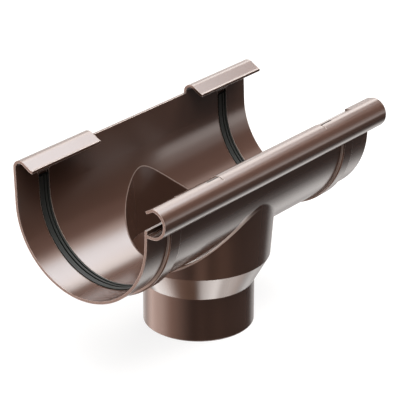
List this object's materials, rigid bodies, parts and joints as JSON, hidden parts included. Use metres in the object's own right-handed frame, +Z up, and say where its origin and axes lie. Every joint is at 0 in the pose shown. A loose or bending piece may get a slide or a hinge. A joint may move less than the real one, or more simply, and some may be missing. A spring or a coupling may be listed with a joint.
{
  "type": "gutter outlet",
  "caption": "Half-round gutter outlet with a front bead, rear clips, rubber gaskets at its ends and a round spigot below for the downpipe.",
  "frame": {"origin": "on the spigot's axis, at its lower rim", "axes": "+X along the gutter run, +Y to the rear clips (the wall side), +Z up out of the outlet"},
  "size_m": [0.284, 0.1497, 0.1686],
  "materials": {
    "brown_pvc": "chocolate brown moulded PVC, satin gloss",
    "gasket_rubber": "black EPDM, matt"
  },
  "bodies": {
    "root": {"outlet_body": "brown_pvc", "gasket_left": "gasket_rubber", "gasket_right": "gasket_rubber"}
  },
  "joints": []
}
